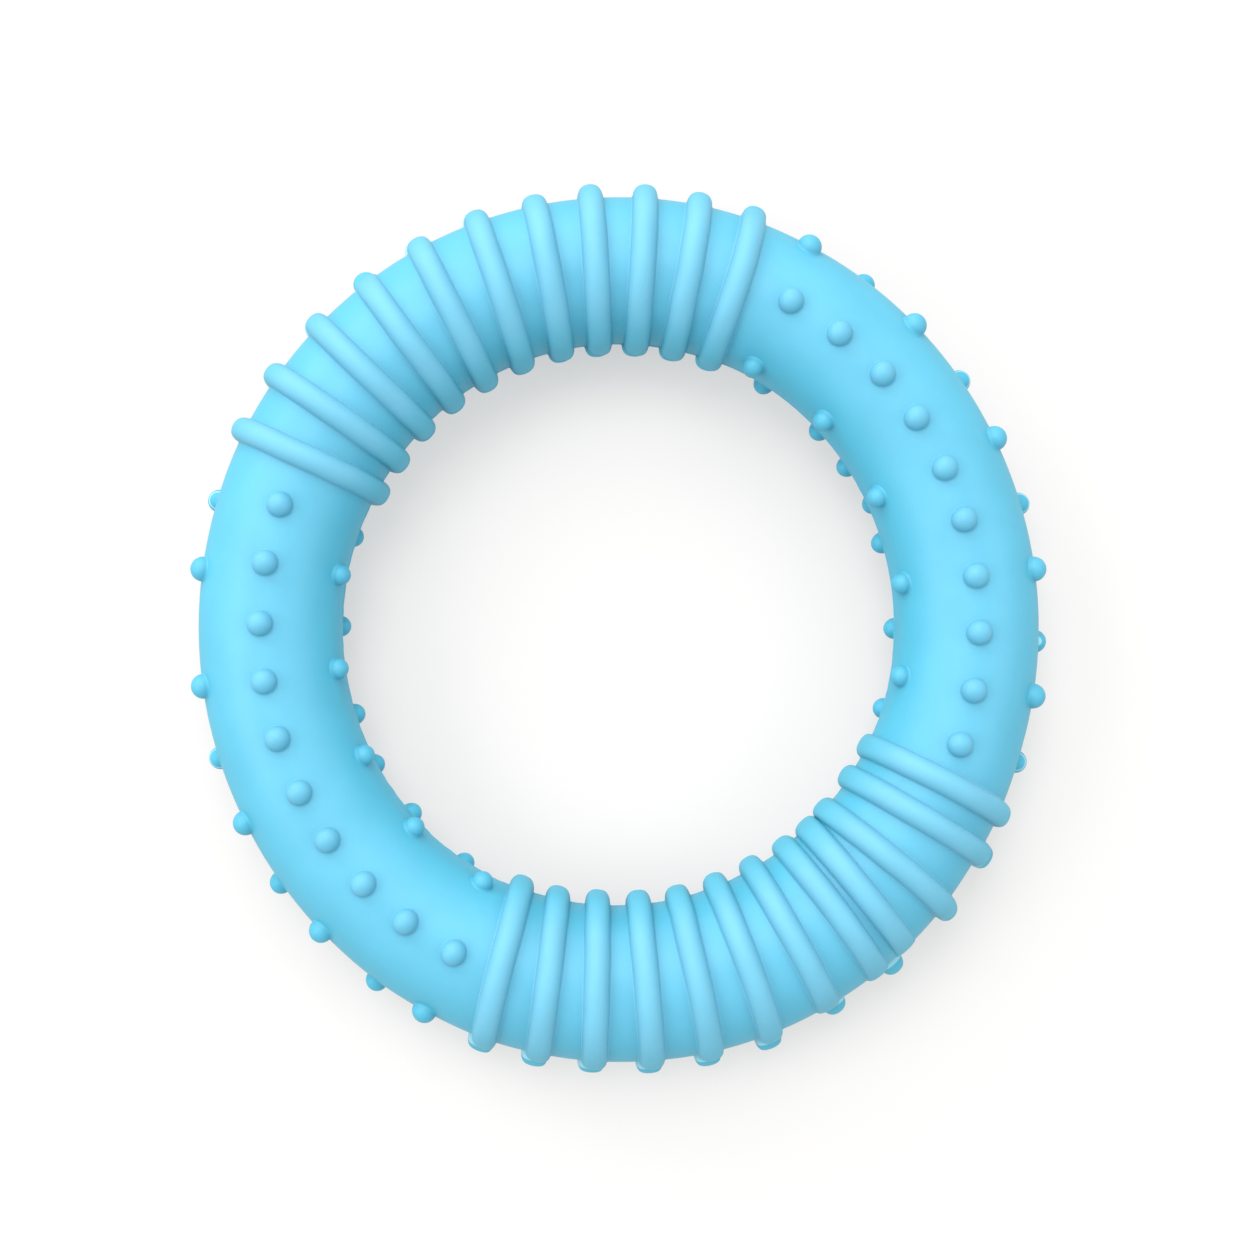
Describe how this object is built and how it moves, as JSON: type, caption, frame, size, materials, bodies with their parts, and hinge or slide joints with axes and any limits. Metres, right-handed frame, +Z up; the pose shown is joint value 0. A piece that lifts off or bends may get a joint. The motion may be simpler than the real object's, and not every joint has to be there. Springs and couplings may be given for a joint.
{
  "type": "rubber chew ring",
  "caption": "Soft rubber chew ring for a dog: a thick oval tube with groups of raised half-round ribs and rows of small round nubs.",
  "frame": {"origin": "centre of the ring's hole, on the plane that the ring lies on", "axes": "+Z up out of the hole, +Y towards the back group of ribs, +X towards the right-hand nubs"},
  "size_m": [0.1229, 0.1267, 0.0245],
  "materials": {
    "tube": "light blue soft rubber, satin moulded surface",
    "ribs": "light blue soft rubber, slightly more matt than the tube",
    "nubs": "light blue soft rubber, satin moulded surface"
  },
  "bodies": {
    "root": {"ring_core": "tube", "rib_back_01": "ribs", "rib_back_02": "ribs", "rib_back_03": "ribs", "rib_back_04": "ribs", "rib_back_05": "ribs", "rib_back_06": "ribs", "rib_back_07": "ribs", "rib_back_08": "ribs", "rib_back_09": "ribs", "rib_back_10": "ribs", "rib_back_11": "ribs", "rib_front_01": "ribs", "rib_front_02": "ribs", "rib_front_03": "ribs", "rib_front_04": "ribs", "rib_front_05": "ribs", "rib_front_06": "ribs", "rib_front_07": "ribs", "rib_front_08": "ribs", "rib_front_09": "ribs", "rib_front_10": "ribs", "rib_front_11": "ribs", "rib_front_12": "ribs", "nubs_right_top": "nubs", "nubs_right_bottom": "nubs", "nubs_right_outer_upper": "nubs", "nubs_right_outer_middle": "nubs", "nubs_right_outer_lower": "nubs", "nubs_right_inner_upper": "nubs", "nubs_right_inner_middle": "nubs", "nubs_right_inner_lower": "nubs", "nubs_left_top": "nubs", "nubs_left_bottom": "nubs", "nubs_left_outer_upper": "nubs", "nubs_left_outer_middle": "nubs", "nubs_left_outer_lower": "nubs", "nubs_left_inner_upper": "nubs", "nubs_left_inner_middle": "nubs", "nubs_left_inner_lower": "nubs"}
  },
  "joints": []
}
